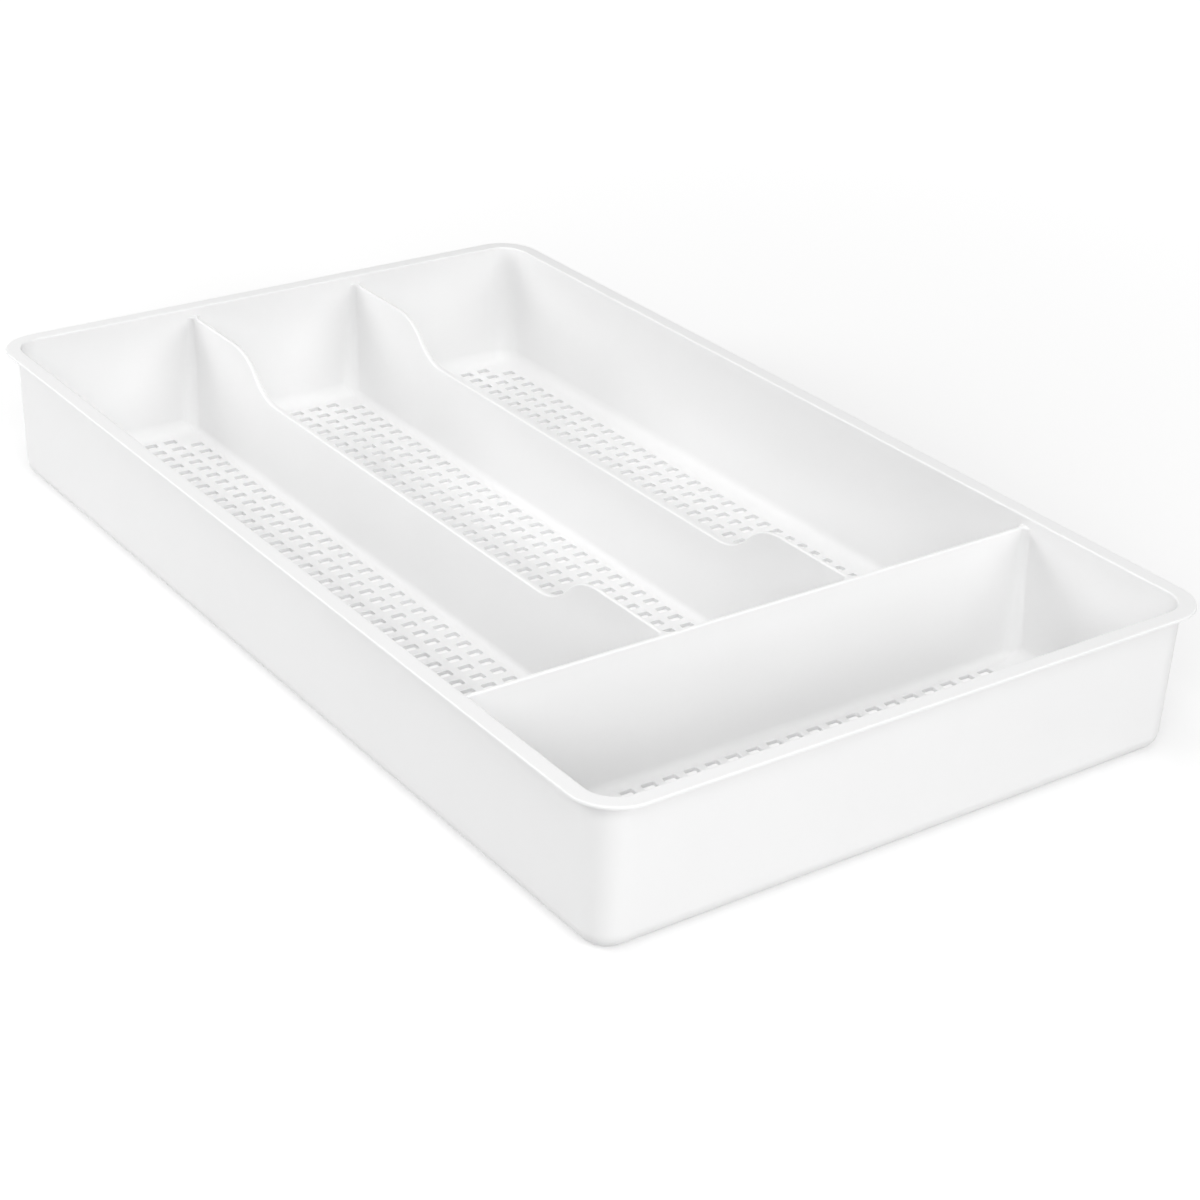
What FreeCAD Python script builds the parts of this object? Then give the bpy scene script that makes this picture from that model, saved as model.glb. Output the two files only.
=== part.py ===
# Cutlery tray: a shallow open moulding with drafted walls, a turned-out rim, two scooped lengthwise dividers,
# one cross divider and slotted drain floors. Its regions are separate solids that meet face to face.
# Origin under the middle of the floor, X along the tray towards the cross bay, +Y to the far side, Z up.
# Lengths are in millimetres and angles in degrees.
import FreeCAD
import Part
import math
import os
from FreeCAD import Vector

# Whole tray
tray_length = 336.0        # over the rim, along X
tray_width = 201.0         # over the rim, along Y
tray_height = 44.2         # underside of the floor to the top of the rim
skin = 1.2                 # thickness of the floor and the walls
draft = 1.25               # lean of every upright face, so that the tray leaves its mould
base_radius = 6.0          # outside bend between floor and wall
corner_radius = 2.6        # plan radius of the flat floor's corners; walls and rim keep the same centres

# Rim
lip_overhang = 3.8         # how far the rim stands out past the wall
lip_thickness = 1.0
lip_round = 0.4            # rounding of the lip's two top edges

# Dividers
divider_drop = 2.8         # from the top of the rim down to the dividers' tops
divider_tip = 1.4          # thickness at the top
foot_radius = 2.5          # fillet between a divider and the floor
flare_radius = 5.0         # upright fillet where a divider meets a wall or another divider, at the floor
flare_top_radius = 2.0     # the same fillet at the height of the rim
flare_edge = 0.3           # thickness left where a flare runs out along a wall
cross_divider_inset = 67.5  # from the rim's front edge to the middle of the cross divider
scoop_depth = 12.1         # drop of the long dividers' middle stretch
scoop_radius = 18.0        # bends at both ends of the scoop
scoop_inset = 43.0         # from each end of a long divider to the middle of its slope

# Drain slots
slot_length = 4.2          # across the tray
slot_width = 3.0           # along the tray
slot_corner = 0.5          # plan radius of a slot's corners
slot_pitch_along = 6.1
slot_pitch_across = 7.0
slot_margin = 0.3          # plain floor left between a slot and the edge of its bay

quarter_turn = 90.0
up = Vector(0, 0, 1)

# Upright faces lean by the draft, so insets and thicknesses depend on the height
slope = math.tan(math.radians(draft))


def tangent_length(radius):
    # From the corner of floor and wall to where a bend of this radius starts.
    return radius * math.tan(math.radians(quarter_turn - draft) / 2)


def outer_inset(z):
    # From the rim's edge in to the wall's outer face.
    return lip_overhang + (tray_height - z) * slope


def inner_inset(z):
    # From the rim's edge in to the wall's inner face.
    return outer_inset(z) + skin / math.cos(math.radians(draft))


wall_top = tray_height - lip_thickness
inner_radius = base_radius - skin
base_inset = outer_inset(0) + tangent_length(base_radius)
rim_radius = corner_radius + base_inset
floor_half_length = tray_length / 2 - base_inset
floor_half_width = tray_width / 2 - base_inset

divider_height = tray_height - divider_drop


def half_thickness(z):
    # Half of a divider's thickness.
    return divider_tip / 2 + (divider_height - z) * slope


foot = half_thickness(skin) + tangent_length(foot_radius)
long_divider_y = (floor_half_width + foot) / 3  # gives the three long bays equal floors
cross_divider_x = tray_length / 2 - cross_divider_inset
divider_reach = half_thickness(skin) + flare_radius + divider_tip  # half width with the flares


def at(centre, radius, angle):
    # A point on a bend drawn in the XZ plane.
    turn = math.radians(angle)
    return centre + Vector(radius * math.cos(turn), 0, radius * math.sin(turn))


def bend(centre, radius, start, end):
    # A round step of an outline: the point half way along the bend and its end.
    return at(centre, radius, (start + end) / 2), at(centre, radius, end)


def wire(start, *steps):
    # A closed outline. Each step is the end of a straight line, or the pair that a bend gives.
    edges = []
    here = start
    for step in steps:
        if isinstance(step, tuple):
            edges.append(Part.Arc(here, *step).toShape())
            here = step[1]
        else:
            edges.append(Part.LineSegment(here, step).toShape())
            here = step
    if not here.isEqual(start, Part.Precision.confusion()):
        edges.append(Part.LineSegment(here, start).toShape())
    return Part.Wire(edges)


def face(start, *steps):
    return Part.Face(wire(start, *steps))


# Cross-sections of the wall and the rim, with the rim's outer edge on the Z axis and the inside towards -X
base_centre = Vector(-base_inset, 0, base_radius)
down = 3 * quarter_turn
outward = 4 * quarter_turn - draft

wall_section = face(
    at(base_centre, base_radius, down),
    bend(base_centre, base_radius, down, outward),
    Vector(-outer_inset(wall_top), 0, wall_top),
    Vector(-inner_inset(wall_top), 0, wall_top),
    at(base_centre, inner_radius, outward),
    bend(base_centre, inner_radius, outward, down),
)

inner_round = Vector(tangent_length(lip_round) - inner_inset(tray_height), 0, tray_height - lip_round)
outer_round = Vector(-lip_round, 0, tray_height - lip_round)
inward = 2 * quarter_turn - draft

rim_section = face(
    Vector(-inner_inset(wall_top), 0, wall_top),
    at(inner_round, lip_round, inward),
    bend(inner_round, lip_round, inward, quarter_turn),
    at(outer_round, lip_round, quarter_turn),
    bend(outer_round, lip_round, quarter_turn, 0),
    Vector(0, 0, wall_top),
)


def straight_side(section, quarter):
    # The straight stretch of one side: 0 is the front, and each quarter goes on anticlockwise.
    spans = (tray_length, tray_width)
    reach = spans[quarter % 2] / 2
    run = spans[1 - quarter % 2] - 2 * rim_radius
    side = section.extrude(Vector(0, run, 0))
    side.translate(Vector(reach, -run / 2, 0))
    side.rotate(Vector(), up, quarter * quarter_turn)
    return side


def round_corner(section, quarter):
    # The corner at the anticlockwise end of that side.
    turn = math.radians((quarter + 1 / 2) * quarter_turn)
    centre_x = math.copysign(tray_length / 2 - rim_radius, math.cos(turn))
    centre_y = math.copysign(tray_width / 2 - rim_radius, math.sin(turn))
    corner = section.translated(Vector(rim_radius, 0, 0)).revolve(Vector(), up, quarter_turn)
    corner.rotate(Vector(), up, quarter * quarter_turn)
    corner.translate(Vector(centre_x, centre_y, 0))
    return corner


def rounded_rectangle(x_low, x_high, y_low, y_high, radius, z):
    # A level outline, anticlockwise from the straight part of its right side.
    bend_share = 1 - math.sqrt(1 / 2)
    near = radius * bend_share
    return wire(
        Vector(x_high, y_low + radius, z),
        Vector(x_high, y_high - radius, z),
        (Vector(x_high - near, y_high - near, z), Vector(x_high - radius, y_high, z)),
        Vector(x_low + radius, y_high, z),
        (Vector(x_low + near, y_high - near, z), Vector(x_low, y_high - radius, z)),
        Vector(x_low, y_low + radius, z),
        (Vector(x_low + near, y_low + near, z), Vector(x_low + radius, y_low, z)),
        Vector(x_high - radius, y_low, z),
        (Vector(x_high - near, y_low + near, z), Vector(x_high, y_low + radius, z)),
    )


# Bays, as their extents at floor level: up to the dividers' faces and just short of the walls' faces
back_face = inner_inset(skin) + flare_edge - tray_length / 2
front_face = -back_face
side_face = tray_width / 2 - inner_inset(skin) - flare_edge
divider_half = half_thickness(skin)

bays = {
    "near_bay": (back_face, cross_divider_x - divider_half, -side_face, -long_divider_y - divider_half),
    "middle_bay": (back_face, cross_divider_x - divider_half, divider_half - long_divider_y,
                   long_divider_y - divider_half),
    "far_bay": (back_face, cross_divider_x - divider_half, long_divider_y + divider_half, side_face),
    "cross_bay": (cross_divider_x + divider_half, front_face, -side_face, side_face),
}


def hollow(x_low, x_high, y_low, y_high):
    # The open space over one bay, drafted: the dividers' foot fillet, then upright corners that narrow upwards.
    def outline(z, radius):
        rise = (z - skin) * slope
        return rounded_rectangle(x_low - rise, x_high + rise, y_low - rise, y_high + rise, radius, z)

    waist = skin + 2 * foot_radius
    waist_radius = flare_radius + (waist - skin) * slope
    low = Part.makeLoft([outline(skin, flare_radius), outline(waist, waist_radius)], True, True)
    foot_edges = [edge for edge in low.Edges if edge.BoundBox.ZMax < skin + foot_radius]
    high = Part.makeLoft([outline(waist, waist_radius), outline(tray_height, flare_top_radius)], True, True)
    return low.makeFillet(foot_radius, foot_edges).fuse(high).removeSplitter()


def floor_extents(x_low, x_high, y_low, y_high):
    # The flat part of one bay: inside the foot fillets and inside the walls' bends.
    run_in = tangent_length(foot_radius)
    return (max(x_low + run_in, -floor_half_length), min(x_high - run_in, floor_half_length),
            max(y_low + run_in, -floor_half_width), min(y_high - run_in, floor_half_width))


def floor_outline(x_low, x_high, y_low, y_high):
    # The flat part's outline, with the corners that the foot fillets and the tray's own corners give it.
    run_in = tangent_length(foot_radius)
    bay = rounded_rectangle(x_low + run_in, x_high - run_in, y_low + run_in, y_high - run_in,
                            flare_radius - run_in, 0)
    tray = rounded_rectangle(-floor_half_length, floor_half_length, -floor_half_width, floor_half_width,
                             corner_radius, 0)
    return Part.Face(bay).common(Part.Face(tray)).Faces[0].OuterWire


def clears_corner(x, y, extents, radius):
    # Whether a slot's corner with its centre at this place keeps its margin inside a rounded rectangle.
    x_low, x_high, y_low, y_high = extents
    clear = slot_margin + slot_corner
    bend_radius = max(radius, clear)
    aside = max(x_low + bend_radius - x, x - x_high + bend_radius, 0)
    ahead = max(y_low + bend_radius - y, y - y_high + bend_radius, 0)
    return math.hypot(aside, ahead) <= bend_radius - clear


def slot(x, y):
    # One drain slot's outline, long across the tray, turned round to make a hole.
    along = slot_width / 2
    across = slot_length / 2
    return rounded_rectangle(x - along, x + along, y - across, y + across, slot_corner, 0).reversed()


def slot_places(bay):
    # Centres of one bay's slots: as many columns as fit, and rows in pairs about the bay's middle line.
    extents = floor_extents(*bay)
    x_low, x_high, y_low, y_high = extents
    bay_radius = flare_radius - tangent_length(foot_radius)
    tray = (-floor_half_length, floor_half_length, -floor_half_width, floor_half_width)
    room_along = x_high - x_low - slot_width - 2 * slot_margin
    room_across = y_high - y_low - slot_length - 2 * slot_margin
    columns = int(room_along / slot_pitch_along) + 1
    pairs = int((room_across / slot_pitch_across + 1) / 2)
    along = slot_width / 2 - slot_corner
    across = slot_length / 2 - slot_corner
    places = []
    for column in range(columns):
        x = (x_low + x_high) / 2 + (column - (columns - 1) / 2) * slot_pitch_along
        for row in range(2 * pairs):
            y = (y_low + y_high) / 2 + (row - pairs + 1 / 2) * slot_pitch_across
            corners = [(x + i * along, y + j * across) for i in (-1, 1) for j in (-1, 1)]
            if all(clears_corner(*place, extents, bay_radius) for place in corners):
                if all(clears_corner(*place, tray, corner_radius) for place in corners):
                    places.append((x, y))
    return places


# Side views of the dividers, drawn in the XZ plane, which follow the walls' inner faces at their ends


def wall_end(half_span):
    # The end that meets the wall on the -X side: up its inner bend and its leaning face.
    centre = Vector(base_inset - half_span, 0, base_radius)
    lean = 2 * quarter_turn + draft
    return [
        at(centre, inner_radius, down),
        bend(centre, inner_radius, down, lean),
        Vector(inner_inset(divider_height) - half_span, 0, divider_height),
    ]


def slope_down(middle, sweep):
    # From the divider's full height down into the scoop, as two opposite bends.
    run = scoop_radius * math.sin(math.radians(sweep))
    crest = Vector(middle - run, 0, divider_height - scoop_radius)
    dip = Vector(middle + run, 0, divider_height - scoop_depth + scoop_radius)
    return [
        at(crest, scoop_radius, quarter_turn),
        bend(crest, scoop_radius, quarter_turn, quarter_turn - sweep),
        bend(dip, scoop_radius, down - sweep, down),
    ]


def slope_up(middle, sweep):
    # Out of the scoop again.
    run = scoop_radius * math.sin(math.radians(sweep))
    dip = Vector(middle - run, 0, divider_height - scoop_depth + scoop_radius)
    crest = Vector(middle + run, 0, divider_height - scoop_radius)
    return [
        at(dip, scoop_radius, down),
        bend(dip, scoop_radius, down, down + sweep),
        bend(crest, scoop_radius, quarter_turn + sweep, quarter_turn),
    ]


def long_block():
    # A long divider's side view, as thick as its flares reach.
    end = cross_divider_x - divider_reach
    first = inner_inset(divider_height) - tray_length / 2 + scoop_inset
    last = cross_divider_x - divider_tip / 2 - scoop_inset
    sweep = math.degrees(math.acos(1 - scoop_depth / (2 * scoop_radius)))
    view = face(
        Vector(-floor_half_length, 0, 0),
        *wall_end(tray_length / 2),
        *slope_down(first, sweep),
        *slope_up(last, sweep),
        Vector(end, 0, divider_height),
        Vector(end, 0, 0),
    )
    return view.translated(Vector(0, -divider_reach, 0)).extrude(Vector(0, 2 * divider_reach, 0))


def cross_block():
    # The cross divider's side view, as thick as its flares and the long dividers' stubs reach.
    half_view = face(
        Vector(-floor_half_width, 0, 0),
        *wall_end(tray_width / 2),
        Vector(0, 0, divider_height),
        Vector(0, 0, 0),
    )
    half = half_view.translated(Vector(0, -divider_reach, 0)).extrude(Vector(0, 2 * divider_reach, 0))
    block = half.fuse(half.mirror(Vector(), Vector(1, 0, 0))).removeSplitter()
    block.rotate(Vector(), up, quarter_turn)
    block.translate(Vector(cross_divider_x, 0, 0))
    return block


nodes = {}

side_names = ("front_wall", "far_wall", "back_wall", "near_wall")
corner_names = ("far_front_corner", "far_back_corner", "near_back_corner", "near_front_corner")
rim_pieces = []
for quarter, (side_name, corner_name) in enumerate(zip(side_names, corner_names)):
    nodes[side_name] = straight_side(wall_section, quarter)
    nodes[corner_name] = round_corner(wall_section, quarter)
    rim_pieces.append(straight_side(rim_section, quarter))
    rim_pieces.append(round_corner(rim_section, quarter))
nodes["rim_lip"] = rim_pieces[0].fuse(rim_pieces[1:]).removeSplitter()

plain_floors = {}
for name, bay in bays.items():
    outline = floor_outline(*bay)
    plain_floors[name] = Part.Face(outline).extrude(up * skin)
    holes = [slot(x, y) for x, y in slot_places(bay)]
    slotted = Part.Face([outline] + holes)
    nodes[name + "_floor"] = slotted.extrude(up * skin)

hollows = {name: hollow(*bay) for name, bay in bays.items()}
long_bays = ("near_bay", "middle_bay", "far_bay")
for name, side, beside in (("near_divider", -1, long_bays[:2]), ("far_divider", 1, long_bays[1:])):
    block = long_block().translated(Vector(0, side * long_divider_y, 0))
    nodes[name] = block.cut([hollows[bay] for bay in beside] + [plain_floors[bay] for bay in beside])
nodes["cross_divider"] = cross_block().cut(list(hollows.values()) + list(plain_floors.values()))

os.makedirs("parts", exist_ok=True)
for name, shape in nodes.items():
    shape.exportStep("parts/" + name + ".step")
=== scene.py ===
import math

import bmesh
import bpy
from mathutils import Matrix, Quaternion, Vector


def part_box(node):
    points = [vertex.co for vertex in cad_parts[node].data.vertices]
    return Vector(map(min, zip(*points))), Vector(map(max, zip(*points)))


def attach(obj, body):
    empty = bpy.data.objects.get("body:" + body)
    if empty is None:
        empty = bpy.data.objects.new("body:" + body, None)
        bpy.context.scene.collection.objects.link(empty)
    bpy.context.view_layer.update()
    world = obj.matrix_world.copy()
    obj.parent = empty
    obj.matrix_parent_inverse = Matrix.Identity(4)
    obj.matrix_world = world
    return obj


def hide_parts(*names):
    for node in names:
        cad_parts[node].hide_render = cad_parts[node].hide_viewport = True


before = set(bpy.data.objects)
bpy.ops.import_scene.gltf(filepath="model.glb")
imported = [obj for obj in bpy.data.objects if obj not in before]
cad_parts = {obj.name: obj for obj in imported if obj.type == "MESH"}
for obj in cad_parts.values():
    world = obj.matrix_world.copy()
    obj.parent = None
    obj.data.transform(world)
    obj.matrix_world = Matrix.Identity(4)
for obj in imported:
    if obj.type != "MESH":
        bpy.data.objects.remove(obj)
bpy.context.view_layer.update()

mm = 0.001  # meshes are modelled in millimetres, then scaled to metres
quarterTurn = math.pi / 2


def nodeBox(node):
    low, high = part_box(node)
    return low / mm, high / mm


# Sizes that all the pieces share: places from the nodes in model.glb, bends and draft of the moulding
rimHigh = nodeBox("rim_lip")[1]
wallTop = nodeBox("near_wall")[1].z
middleHigh = nodeBox("middle_bay_floor")[1]
farLow = nodeBox("far_bay_floor")[0]
crossLow, crossHigh = nodeBox("cross_bay_floor")

moulding = {
    "halfLength": rimHigh.x,
    "halfWidth": rimHigh.y,
    "height": rimHigh.z,
    "skin": middleHigh.z,             # thickness of the floors
    "floorHalfLength": crossHigh.x,   # flat floor, inside the walls' bends
    "floorHalfWidth": crossHigh.y,
    "crossX": (middleHigh.x + crossLow.x) / 2,   # middle plane of the cross divider
    "longY": (middleHigh.y + farLow.y) / 2,      # middle plane of the far divider
    "draft": 1.25,                    # degrees, lean of every upright face
    "baseRadius": 6.0,                # outside bend between floor and wall
    "cornerRadius": 2.6,              # plan radius of the flat floor's corners
    "lipOverhang": 3.8,               # rim past the wall
    "floorLand": 0.3,                 # flat floor that a wall carries, so that the seam lies on the flat
}

skin = moulding["skin"]
lean = math.radians(moulding["draft"])
slope = math.tan(lean)
innerRadius = moulding["baseRadius"] - skin
baseInset = moulding["halfLength"] - moulding["floorHalfLength"]
rimRadius = moulding["cornerRadius"] + baseInset
straightReach = (moulding["halfWidth"] - rimRadius, moulding["halfLength"] - rimRadius)


def bendRun(radius):  # from a floor corner to where its bend starts
    return radius * math.tan((quarterTurn - lean) / 2)


def outerInset(z):  # rim's edge in to the wall's outer face
    return moulding["lipOverhang"] + (moulding["height"] - z) * slope


def innerInset(z):  # rim's edge in to the wall's inner face
    return outerInset(z) + skin / math.cos(lean)


# Material: white polypropylene, injection moulded with a fine satin texture.
# It gives the eye a soft broad sheen, an almost even white and a faint orange peel.
plastic = {
    "white": "#F6F6F6",
    "flowWhite": "#F2F2F2",     # faint clouds where the melt flowed
    "ior": 1.49,
    "roughness": (0.40, 0.50),
    "cloudSize": 38.0,          # mm
    "cloudDetail": 3.0,
    "sheenSize": 9.0,           # mm, patches of changing gloss
    "sheenDetail": 2.0,
    "peelSize": 1.1,            # mm; the real texture is about 0.1 mm, drawn coarser to show
    "peelDetail": 1.0,
    "peelDepth": 0.006,         # mm
}
mixSockets = {"first": 6, "second": 7, "result": 2}  # of a colour mix


def toLinear(hexColour):
    channels = []
    for start in (1, 3, 5):
        value = int(hexColour[start:start + 2], 16) / 255
        channels.append(value / 12.92 if value <= 0.04045 else ((value + 0.055) / 1.055) ** 2.4)
    return (*channels, 1)


def addNode(tree, kind, values=None, links=None, **settings):
    node = tree.nodes.new(kind)
    for name, value in settings.items():
        setattr(node, name, value)
    for socket, value in (values or {}).items():
        node.inputs[socket].default_value = value
    for socket, source in (links or {}).items():
        tree.links.new(source, node.inputs[socket])
    return node


def addNoise(tree, place, pattern):  # a pattern of that size on Object coordinates, which are in metres
    values = {"Scale": 1 / (plastic[pattern + "Size"] * mm), "Detail": plastic[pattern + "Detail"]}
    return addNode(tree, "ShaderNodeTexNoise", values, {"Vector": place}).outputs["Fac"]


def makePlastic():
    material = bpy.data.materials.new("satinMouldedPolypropylene")
    material.use_nodes = True
    tree = material.node_tree
    shader = tree.nodes["Principled BSDF"]
    shader.inputs["IOR"].default_value = plastic["ior"]
    place = addNode(tree, "ShaderNodeTexCoord").outputs["Object"]
    cloud = addNoise(tree, place, "cloud")
    colour = addNode(tree, "ShaderNodeMix", links={"Factor": cloud}, data_type="RGBA")
    colour.inputs[mixSockets["first"]].default_value = toLinear(plastic["flowWhite"])
    colour.inputs[mixSockets["second"]].default_value = toLinear(plastic["white"])
    tree.links.new(colour.outputs[mixSockets["result"]], shader.inputs["Base Color"])
    sheen = addNoise(tree, place, "sheen")
    smooth, rough = plastic["roughness"]
    gloss = addNode(tree, "ShaderNodeMapRange", {"To Min": smooth, "To Max": rough}, {"Value": sheen})
    tree.links.new(gloss.outputs["Result"], shader.inputs["Roughness"])
    peel = addNoise(tree, place, "peel")
    bump = addNode(tree, "ShaderNodeBump", {"Distance": plastic["peelDepth"] * mm}, {"Height": peel})
    tree.links.new(bump.outputs["Normal"], shader.inputs["Normal"])
    return material


whitePlastic = makePlastic()
print("material made")


# Shared mesh steps
meshing = {
    "sharpAngle": math.radians(35),
    "weld": 0.001,        # mm, corners of a piece that become one
    "cellWeld": 0.01,     # mm, the same between the cells of a floor
    "cutReach": 0.0001,   # mm, corners that a cut takes as lying on it
    "roundProfile": 0.5,  # of a bevel
    "upright": 0.5,       # a face whose normal has less Z than this is a side
}


def roundedFace(bm, corners, rounds, steps):
    # rounds: how far each rounding reaches along its edges, and the corners that have it
    verts = [bm.verts.new(corner) for corner in corners]
    bm.faces.new(verts)
    for run, indices in rounds.items():
        arcs = bmesh.ops.bevel(bm, geom=[verts[index] for index in indices], affect="VERTICES", offset=run,
                               offset_type="OFFSET", segments=steps, profile=meshing["roundProfile"],
                               clamp_overlap=False, material=-1)
    return arcs["verts"][0].link_faces[0]


def wholeFace(face):  # with its edges and corners, so that extruding leaves no face inside
    return [face, *face.edges, *face.verts]


def vertsOf(grown):
    return [part for part in grown if isinstance(part, bmesh.types.BMVert)]


def faceOf(grown):
    return next(part for part in grown if isinstance(part, bmesh.types.BMFace))


def pulled(bm, face, move):  # extrudes a face and returns its far end
    grown = bmesh.ops.extrude_face_region(bm, geom=wholeFace(face))["geom"]
    bmesh.ops.translate(bm, vec=move, verts=vertsOf(grown))
    return faceOf(grown)


def turned(bm, face, centre, steps):  # spins a face by a quarter about an upright axis
    grown = bmesh.ops.spin(bm, geom=wholeFace(face), cent=centre, axis=(0, 0, 1), angle=quarterTurn,
                           steps=steps)
    return faceOf(grown["geom_last"])


def makePiece(bm, name, node, smooth=True):
    bmesh.ops.remove_doubles(bm, verts=bm.verts, dist=meshing["weld"])
    bmesh.ops.recalc_face_normals(bm, faces=bm.faces)
    bmesh.ops.scale(bm, vec=(mm, mm, mm), verts=bm.verts)
    mesh = bpy.data.meshes.new(name)
    bm.to_mesh(mesh)
    bm.free()
    if smooth:
        mesh.shade_smooth()
        mesh.set_sharp_from_angle(angle=meshing["sharpAngle"])
    mesh.materials.append(whitePlastic)
    piece = bpy.data.objects.new(name, mesh)
    bpy.context.scene.collection.objects.link(piece)
    if smooth:  # flat faces keep their own normals beside the bends
        piece.modifiers.new("weightedNormals", "WEIGHTED_NORMAL").keep_sharp = True
    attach(piece, "root")
    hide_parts(node)


# Walls and corners
wall = {
    "bendSteps": 10,
    "cornerSteps": 20,
    "seamLand": 1.0,   # straight stretch on each end of a corner, so that its seam lies on the flat
    "sides": (("frontWall", "front_wall"), ("farWall", "far_wall"), ("backWall", "back_wall"),
              ("nearWall", "near_wall")),
    "corners": (("farFrontCorner", "far_front_corner"), ("farBackCorner", "far_back_corner"),
                ("nearBackCorner", "near_back_corner"), ("nearFrontCorner", "near_front_corner")),
}


def wallSection(bm, reach, y):  # reach: how far out the rim's edge is
    floorEnd = reach - baseInset - moulding["floorLand"]
    corners = (
        (floorEnd, y, 0),
        (reach - outerInset(0), y, 0),
        (reach - outerInset(wallTop), y, wallTop),
        (reach - innerInset(wallTop), y, wallTop),
        (reach - innerInset(skin), y, skin),
        (floorEnd, y, skin),
    )
    bends = {bendRun(moulding["baseRadius"]): [1], bendRun(innerRadius): [4]}
    return roundedFace(bm, corners, bends, wall["bendSteps"])


def cornerCentre(quarter):
    turn = (quarter + 0.5) * quarterTurn
    x = math.copysign(straightReach[1], math.cos(turn))
    y = math.copysign(straightReach[0], math.sin(turn))
    return Vector((x, y, 0))


for quarter in range(4):  # 0 is the front, then anticlockwise
    turn = Matrix.Rotation(quarter * quarterTurn, 3, "Z")
    reach = (moulding["halfLength"], moulding["halfWidth"])[quarter % 2]
    half = straightReach[quarter % 2] - wall["seamLand"]

    bm = bmesh.new()
    pulled(bm, wallSection(bm, reach, -half), (0, 2 * half, 0))
    bmesh.ops.rotate(bm, cent=(0, 0, 0), matrix=turn, verts=bm.verts)
    makePiece(bm, *wall["sides"][quarter])

    bm = bmesh.new()
    start = pulled(bm, wallSection(bm, rimRadius, -wall["seamLand"]), (0, wall["seamLand"], 0))
    end = turned(bm, start, (0, 0, 0), wall["cornerSteps"])
    pulled(bm, end, (-wall["seamLand"], 0, 0))
    bmesh.ops.rotate(bm, cent=(0, 0, 0), matrix=turn, verts=bm.verts)
    bmesh.ops.translate(bm, vec=cornerCentre(quarter), verts=bm.verts)
    makePiece(bm, *wall["corners"][quarter])
print("walls and corners made")


# Rim: a thin flat lip, turned out, with softened edges
rim = {
    "innerRound": 0.6,
    "outerRound": 0.4,
    "lowerRound": 0.2,
    "steps": 5,
    "cornerSteps": 24,
}


def makeRim():
    reach = moulding["halfLength"]
    y = -straightReach[0]
    corners = (
        (reach - innerInset(wallTop), y, wallTop),
        (reach - innerInset(rimHigh.z), y, rimHigh.z),
        (reach, y, rimHigh.z),
        (reach, y, wallTop),
    )
    rounds = {bendRun(rim["innerRound"]): [1], rim["outerRound"]: [2], rim["lowerRound"]: [3]}
    bm = bmesh.new()
    start = roundedFace(bm, corners, rounds, rim["steps"])
    end = start
    for quarter in range(4):
        run = Vector((0, 2 * straightReach[quarter % 2], 0))
        end = pulled(bm, end, Matrix.Rotation(quarter * quarterTurn, 3, "Z") @ run)
        end = turned(bm, end, cornerCentre(quarter), rim["cornerSteps"])
    bmesh.ops.delete(bm, geom=[start, end], context="FACES_ONLY")  # the ring closes on itself
    makePiece(bm, "rimLip", "rim_lip")


makeRim()
print("rim made")


# Floors: flat plates with rows of drain slots, which reach under the dividers
floorPlate = {
    "slotLength": 4.2,      # across the tray
    "slotWidth": 3.0,
    "slotCorner": 0.5,      # plan radius
    "pitchAlong": 6.1,
    "pitchAcross": 7.0,
    "margin": 0.3,          # plain floor between a slot and the edge of its bay
    "cornerRadius": 2.55,   # of a bay's flat floor
    "slotRound": 0.25,      # softened upper edge of a slot
    "slotSteps": 3,
}


def keepsMargin(x, y, low, high):  # whether a slot is clear of a bay's rounded floor corners
    radius = floorPlate["cornerRadius"]
    room = (high - low) / 2
    middle = (high + low) / 2
    aside = abs(x - middle.x) + floorPlate["slotWidth"] / 2 - floorPlate["slotCorner"]
    ahead = abs(y - middle.y) + floorPlate["slotLength"] / 2 - floorPlate["slotCorner"]
    beyond = math.hypot(max(aside - room.x + radius, 0), max(ahead - room.y + radius, 0))
    return beyond <= radius - floorPlate["margin"] - floorPlate["slotCorner"]


def slotGrid(low, high):  # the slots' columns and rows, as many as fit and in the middle of the bay
    room = high - low
    length, width, margin = floorPlate["slotLength"], floorPlate["slotWidth"], floorPlate["margin"]
    columns = int((room.x - width - 2 * margin) / floorPlate["pitchAlong"]) + 1
    rows = 2 * int(((room.y - length - 2 * margin) / floorPlate["pitchAcross"] + 1) / 2)
    middle = (low + high) / 2
    xs = [middle.x + (column - (columns - 1) / 2) * floorPlate["pitchAlong"] for column in range(columns)]
    ys = [middle.y + (row - (rows - 1) / 2) * floorPlate["pitchAcross"] for row in range(rows)]
    return xs, ys


def cellLines(places, edges):  # where one slot's cell ends and the next begins
    between = [(place + following) / 2 for place, following in zip(places, places[1:])]
    return [edges[0], *between, edges[1]]


def makeCell(bm, x, y, xEnds, yEnds, low, high):  # a rectangle of floor, with a slot where one fits
    places = [(xEnds[i], yEnds[j], skin) for i, j in ((0, 0), (1, 0), (1, 1), (0, 1))]
    cell = bm.faces.new([bm.verts.new(place) for place in places])
    if not keepsMargin(x, y, low, high):
        return
    half = floorPlate["slotWidth"] / 2
    end = floorPlate["slotLength"] / 2
    corners = [(x + i * half, y + j * end, skin) for i, j in ((-1, -1), (1, -1), (1, 1), (-1, 1))]
    slot = roundedFace(bm, corners, {floorPlate["slotCorner"]: range(4)}, floorPlate["slotSteps"])
    for vert in slot.verts:
        vert[bm.verts.layers.int["ofSlot"]] = 1
    outlines = [*cell.edges, *slot.edges]
    bmesh.ops.delete(bm, geom=[cell, slot], context="FACES_ONLY")
    bmesh.ops.triangle_fill(bm, edges=outlines, use_beauty=True, normal=(0, 0, 1))


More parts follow.
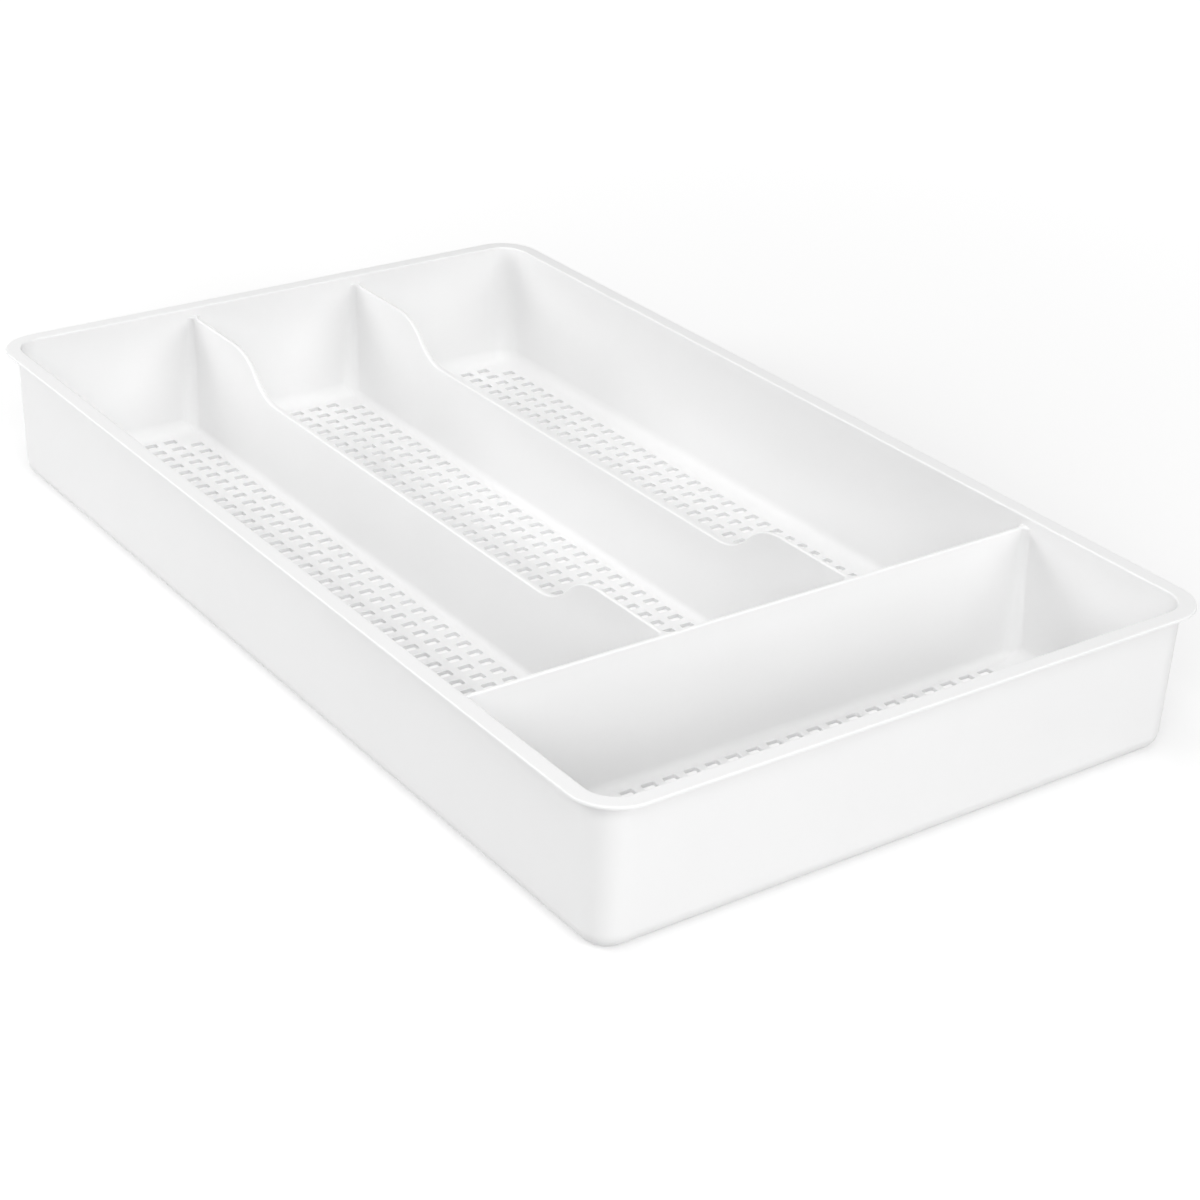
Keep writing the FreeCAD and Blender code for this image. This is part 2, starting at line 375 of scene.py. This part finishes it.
def roundOff(bm, quarter):  # cuts a sheet to the floor's rounded corner, in the steps of the wall's corner
    centre = cornerCentre(quarter)
    radius = moulding["cornerRadius"] - moulding["floorLand"]
    step = quarterTurn / wall["cornerSteps"]

    def isBeyond(vert):
        return vert.co.x * centre.x > centre.x ** 2 and vert.co.y * centre.y > centre.y ** 2

    near = {part for face in bm.faces if any(map(isBeyond, face.verts)) for part in wholeFace(face)}
    for index in range(wall["cornerSteps"]):
        angle = quarter * quarterTurn + (index + 0.5) * step
        outward = Vector((math.cos(angle), math.sin(angle), 0))
        place = centre + outward * radius * math.cos(step / 2)
        near = bmesh.ops.bisect_plane(bm, geom=list(near), plane_co=place, plane_no=outward,
                                      dist=meshing["cutReach"], clear_outer=True)["geom"]


def makeFloor(name, node, xEdges, yEdges):
    bm = bmesh.new()
    ofSlot = bm.verts.layers.int.new("ofSlot")
    low, high = nodeBox(node)
    xs, ys = slotGrid(low, high)
    xLines = cellLines(xs, xEdges)
    yLines = cellLines(ys, yEdges)

    def makeColumn(column):
        for row, y in enumerate(ys):
            makeCell(bm, xs[column], y, xLines[column:column + 2], yLines[row:row + 2], low, high)

    makeColumn(1)
    inner = bm.verts[:] + bm.edges[:] + bm.faces[:]
    for column in range(2, len(xs) - 1):
        copy = bmesh.ops.duplicate(bm, geom=inner)["geom"]
        bmesh.ops.translate(bm, vec=(xs[column] - xs[1], 0, 0), verts=vertsOf(copy))
    makeColumn(0)
    makeColumn(len(xs) - 1)
    bmesh.ops.remove_doubles(bm, verts=bm.verts, dist=meshing["cellWeld"])
    for quarter in range(4):
        roundOff(bm, quarter)

    under = bmesh.ops.extrude_face_region(bm, geom=bm.faces[:])["geom"]
    bmesh.ops.translate(bm, vec=(0, 0, -skin), verts=vertsOf(under))
    bmesh.ops.recalc_face_normals(bm, faces=bm.faces)
    topEdges = [edge for edge in bm.edges if all(v[ofSlot] and v.co.z > skin / 2 for v in edge.verts)
                and any(abs(face.normal.z) < meshing["upright"] for face in edge.link_faces)]
    bmesh.ops.bevel(bm, geom=topEdges, affect="EDGES", offset=floorPlate["slotRound"], offset_type="OFFSET",
                    segments=1, profile=meshing["roundProfile"], clamp_overlap=True, material=-1)
    makePiece(bm, name, node, smooth=False)


endX = moulding["floorHalfLength"] - moulding["floorLand"]
endY = moulding["floorHalfWidth"] - moulding["floorLand"]
crossX = moulding["crossX"]
longY = moulding["longY"]
makeFloor("nearBayFloor", "near_bay_floor", (-endX, crossX), (-endY, -longY))
makeFloor("middleBayFloor", "middle_bay_floor", (-endX, crossX), (-longY, longY))
makeFloor("farBayFloor", "far_bay_floor", (-endX, crossX), (longY, endY))
makeFloor("crossBayFloor", "cross_bay_floor", (crossX, endX), (-endY, endY))
print("floors made")


# Dividers: drafted, with a foot fillet, a rounded top and flares into what they meet
divider = {
    "top": nodeBox("cross_divider")[1].z,
    "tip": 1.4,            # thickness at the top
    "topRound": 0.55,
    "footRadius": 2.5,
    "flareRadius": 5.0,    # at the floor
    "flareTop": 2.0,       # at the height of the rim
    "sink": 0.12,          # how far a flare's run-out lies inside the wall's face
    "bury": 0.2,           # how far an end goes into the wall
    "waist": 5.0,          # above the floor: the wall's bend has ended and the flares start to narrow
    "flushDrop": 0.02,     # a long divider's top under the cross divider's
    "footSteps": 6,
    "topSteps": 5,
    "flareSteps": 10,
}
scoop = {
    "depth": 12.1,
    "radius": 18.0,
    "inset": 43.0,         # from each end of a long divider to the middle of its slope
    "steps": 8,
}

halfFoot = divider["tip"] / 2 + (divider["top"] - skin) * slope  # half thickness at the floor
waist = skin + divider["waist"]


def sideProfile(top):
    # The bay's outline from the floor up, as (draft, offset by a fillet or rounding, height)
    radius = divider["footRadius"]
    for step in range(divider["footSteps"] + 1):
        angle = (quarterTurn - lean) * step / divider["footSteps"]
        yield 0, radius * math.sin(angle) - bendRun(radius), skin + radius * (1 - math.cos(angle))
    yield (waist - skin) * slope, 0, waist
    radius = divider["topRound"]
    for step in range(divider["topSteps"] + 1):
        angle = quarterTurn * step / divider["topSteps"]
        height = top - radius * (1 - math.sin(angle))
        yield (top - radius - skin) * slope, radius * (1 - math.cos(angle)), height


def flareAt(z):  # radius of the flares, which narrow upwards
    share = max(z - waist, 0) / (moulding["height"] - waist)
    return divider["flareRadius"] + (divider["flareTop"] - divider["flareRadius"]) * share


def wallLimit(z, floorEnd):  # how far a divider's end goes into the bend at the wall's foot
    if z >= waist:
        return math.inf
    reach = innerRadius + divider["bury"]
    return floorEnd + math.sqrt(reach ** 2 - (moulding["baseRadius"] - z) ** 2)


def stationLoop(along, flare, top):
    # along: function of the flare's (centre, end, z) giving the place along the divider
    # flare: 0 at the straight, 1 at the end
    angle = quarterTurn * (1 - flare)
    side = []
    for shift, offset, z in sideProfile(top):
        centre = flareAt(z) - shift
        reach = flareAt(z) + offset
        across = halfFoot + centre - reach * math.sin(angle)
        side.append(Vector((along(centre, reach * math.cos(angle), z), across, z)))
    mirrored = [Vector((p.x, -p.y, p.z)) for p in reversed(side)]
    return side + mirrored


def makeDivider(name, node, loops, place):
    bm = bmesh.new()
    order = bm.verts.layers.int.new("order")
    verts = [bm.verts.new(point) for point in loops[0]]
    for index, vert in enumerate(verts):
        vert[order] = index
    end = bm.faces.new(verts)
    for loop in loops[1:]:
        end = pulled(bm, end, (0, 0, 0))
        for vert in end.verts:
            vert.co = loop[vert[order]]
    count = len(verts)
    caps = [face for face in bm.faces if len(face.verts) == count]
    for cap in caps:  # cut in level strips, which follow the bend of the wall
        ring = {vert[order]: vert for vert in cap.verts}
        for index in range(1, count // 2 - 1):
            bmesh.ops.connect_verts(bm, verts=[ring[index], ring[count - 1 - index]])
    bmesh.ops.transform(bm, matrix=place, verts=bm.verts)
    makePiece(bm, name, node)


def wallEndLoops(halfSpan, floorEnd, top):  # from inside the wall on the far end to the end of the flare
    face = halfSpan - innerInset(skin)

    def place(centre, end, z):
        return min(face + divider["sink"] - centre + end, wallLimit(z, floorEnd))

    def buried(centre, end, z):
        return min(place(centre, end, z) + divider["bury"], wallLimit(z, floorEnd))

    loops = [stationLoop(buried, 1, top)]
    for step in range(divider["flareSteps"] + 1):
        loops.append(stationLoop(place, 1 - step / divider["flareSteps"], top))
    return loops


def flipped(loops):  # the same end on the other side, in the order of travel
    return [[Vector((-p.x, p.y, p.z)) for p in loop] for loop in reversed(loops)]


def scoopLoops(middle, side, top):  # side 1 goes down into the scoop, -1 comes out of it
    radius = scoop["radius"]
    sweep = math.acos(1 - scoop["depth"] / (2 * radius))
    run = radius * math.sin(sweep)
    places = []
    for step in range(scoop["steps"] + 1):
        angle = sweep * step / scoop["steps"]
        places.append((-run + radius * math.sin(angle), top - radius * (1 - math.cos(angle))))
    for step in range(scoop["steps"] - 1, -1, -1):
        angle = sweep * step / scoop["steps"]
        height = top - scoop["depth"] + radius * (1 - math.cos(angle))
        places.append((run - radius * math.sin(angle), height))
    loops = []
    for x, z in places:
        loops.append(stationLoop(lambda centre, end, height, x=x: middle + side * x, 0, z))
    return loops if side > 0 else loops[::-1]


def teeLoops(top):  # a long divider's flare into the cross divider, and its end inside it
    face = crossX - halfFoot

    def place(centre, end, z):
        return face - centre + end

    steps = divider["flareSteps"]
    loops = [stationLoop(place, step / steps, top) for step in range(steps + 1)]
    loops.append(stationLoop(lambda centre, end, z: crossX, 0, top))
    return loops


crossEnd = wallEndLoops(moulding["halfWidth"], moulding["floorHalfWidth"], divider["top"])
crossPlace = Matrix.Translation((crossX, 0, 0)) @ Matrix.Rotation(quarterTurn, 4, "Z")
makeDivider("crossDivider", "cross_divider", flipped(crossEnd)[::-1] + crossEnd[::-1], crossPlace)

longTop = divider["top"] - divider["flushDrop"]
backEnd = flipped(wallEndLoops(moulding["halfLength"], moulding["floorHalfLength"], longTop))[::-1]
scoopStart = innerInset(divider["top"]) - moulding["halfLength"] + scoop["inset"]
scoopEnd = crossX - divider["tip"] / 2 - scoop["inset"]
longLoops = [*backEnd, *scoopLoops(scoopStart, 1, longTop), *scoopLoops(scoopEnd, -1, longTop),
             *teeLoops(longTop)]
for name, node, y in (("nearDivider", "near_divider", -longY), ("farDivider", "far_divider", longY)):
    makeDivider(name, node, longLoops, Matrix.Translation((0, y, 0)))
print("dividers made")


# Stage: a plain pale floor that shows as white and keeps the tray's shadow
stage = {
    "colour": "#D0D0D0",
    "size": 6.0,                 # metres
    "gap": 0.05 * mm,            # under the tray
    "glow": (0.43, 0.72),        # lifts the floor to white where it is seen: beside the tray, far from it
    "glowReach": (0.18, 0.70),   # metres from the tray's middle
    "sky": 0.08,                 # even light from all round
}
plainWhite = (1, 1, 1, 1)


def seenRays(tree):  # camera, glossy and transmission rays
    path = addNode(tree, "ShaderNodeLightPath").outputs
    seen = path["Is Camera Ray"]
    for kind in ("Is Glossy Ray", "Is Transmission Ray"):
        either = addNode(tree, "ShaderNodeMath", links={0: seen, 1: path[kind]}, operation="MAXIMUM")
        seen = either.outputs[0]
    return seen


def makeStage():
    bm = bmesh.new()
    bmesh.ops.create_grid(bm, x_segments=1, y_segments=1, size=stage["size"] / 2)
    bmesh.ops.translate(bm, vec=(0, 0, -stage["gap"]), verts=bm.verts)
    mesh = bpy.data.meshes.new("studioFloor")
    bm.to_mesh(mesh)
    bm.free()
    material = bpy.data.materials.new("whitePaperSweep")  # matt paper, shown as plain white
    material.use_nodes = True
    tree = material.node_tree
    shader = tree.nodes["Principled BSDF"]
    shader.inputs["Base Color"].default_value = toLinear(stage["colour"])
    shader.inputs["Roughness"].default_value = 1.0
    shader.inputs["Specular IOR Level"].default_value = 0.0
    shader.inputs["Emission Color"].default_value = plainWhite
    place = addNode(tree, "ShaderNodeTexCoord").outputs["Object"]
    away = addNode(tree, "ShaderNodeVectorMath", links={0: place}, operation="LENGTH")
    near, far = stage["glowReach"]
    low, high = stage["glow"]
    span = {"From Min": near, "From Max": far, "To Min": low, "To Max": high}
    fill = addNode(tree, "ShaderNodeMapRange", span, {"Value": away.outputs["Value"]}).outputs["Result"]
    glow = addNode(tree, "ShaderNodeMath", links={0: fill, 1: seenRays(tree)}, operation="MULTIPLY")
    tree.links.new(glow.outputs[0], shader.inputs["Emission Strength"])
    mesh.materials.append(material)
    floor = bpy.data.objects.new("studioFloor", mesh)
    bpy.context.scene.collection.objects.link(floor)

    world = bpy.data.worlds.new("studioSky")
    bpy.context.scene.world = world
    world.use_nodes = True
    tree = world.node_tree
    tree.nodes.clear()
    sky = addNode(tree, "ShaderNodeBackground", {"Color": plainWhite, "Strength": stage["sky"]}).outputs[0]
    backdrop = addNode(tree, "ShaderNodeBackground", {"Color": plainWhite, "Strength": 1.0}).outputs[0]
    mix = addNode(tree, "ShaderNodeMixShader", links={0: seenRays(tree), 1: sky, 2: backdrop})
    addNode(tree, "ShaderNodeOutputWorld", links={"Surface": mix.outputs[0]})


makeStage()

# Softboxes, all aimed at the tray's middle: place and size in metres, power in watts
softboxes = {
    "frontFill": {"place": (1.0, -0.7, 0.9), "size": 1.0, "power": 11.6},
    "leftKey": {"place": (-0.55, -0.75, 0.45), "size": 0.5, "power": 4.6},
    "endKey": {"place": (1.4, 0.45, 0.5), "size": 0.6, "power": 7.4},
    "topFill": {"place": (0, 0, 1.6), "size": 1.4, "power": 9.5},
}

for name, box in softboxes.items():
    lamp = bpy.data.lights.new(name, "AREA")
    lamp.shape = "SQUARE"
    lamp.size = box["size"]
    lamp.energy = box["power"]
    light = bpy.data.objects.new(name, lamp)
    light.location = box["place"]
    light.rotation_euler = Vector(box["place"]).to_track_quat("Z", "Y").to_euler()
    bpy.context.scene.collection.objects.link(light)

# Camera at the photograph's viewing angle
viewpoint = {
    "azimuth": 55.05,     # degrees round from the near side towards the cross bay
    "elevation": 26.79,
    "roll": 1.81,
    "distance": 0.7739,   # metres
    "aside": 0.0020,      # metres, the tray's middle right of the lens axis
    "above": -0.0047,     # metres, the tray's middle above the lens axis
    "sensor": 36.0,
    "lens": 77.34,
    "shift": (0.0534, -0.0165),
}


def makeCamera():
    azimuth = math.radians(viewpoint["azimuth"])
    elevation = math.radians(viewpoint["elevation"])
    back = Vector((math.sin(azimuth) * math.cos(elevation), -math.cos(azimuth) * math.cos(elevation),
                   math.sin(elevation)))
    turn = back.to_track_quat("Z", "Y") @ Quaternion((0, 0, 1), math.radians(viewpoint["roll"]))
    lens = bpy.data.cameras.new("photoCamera")
    lens.sensor_width = viewpoint["sensor"]
    lens.lens = viewpoint["lens"]
    lens.shift_x, lens.shift_y = viewpoint["shift"]
    camera = bpy.data.objects.new("photoCamera", lens)
    camera.location = turn @ Vector((-viewpoint["aside"], -viewpoint["above"], viewpoint["distance"]))
    camera.rotation_euler = turn.to_euler()
    bpy.context.scene.collection.objects.link(camera)
    bpy.context.scene.camera = camera


makeCamera()
bpy.context.scene.view_settings.view_transform = "Standard"
print("stage, lights and camera made")
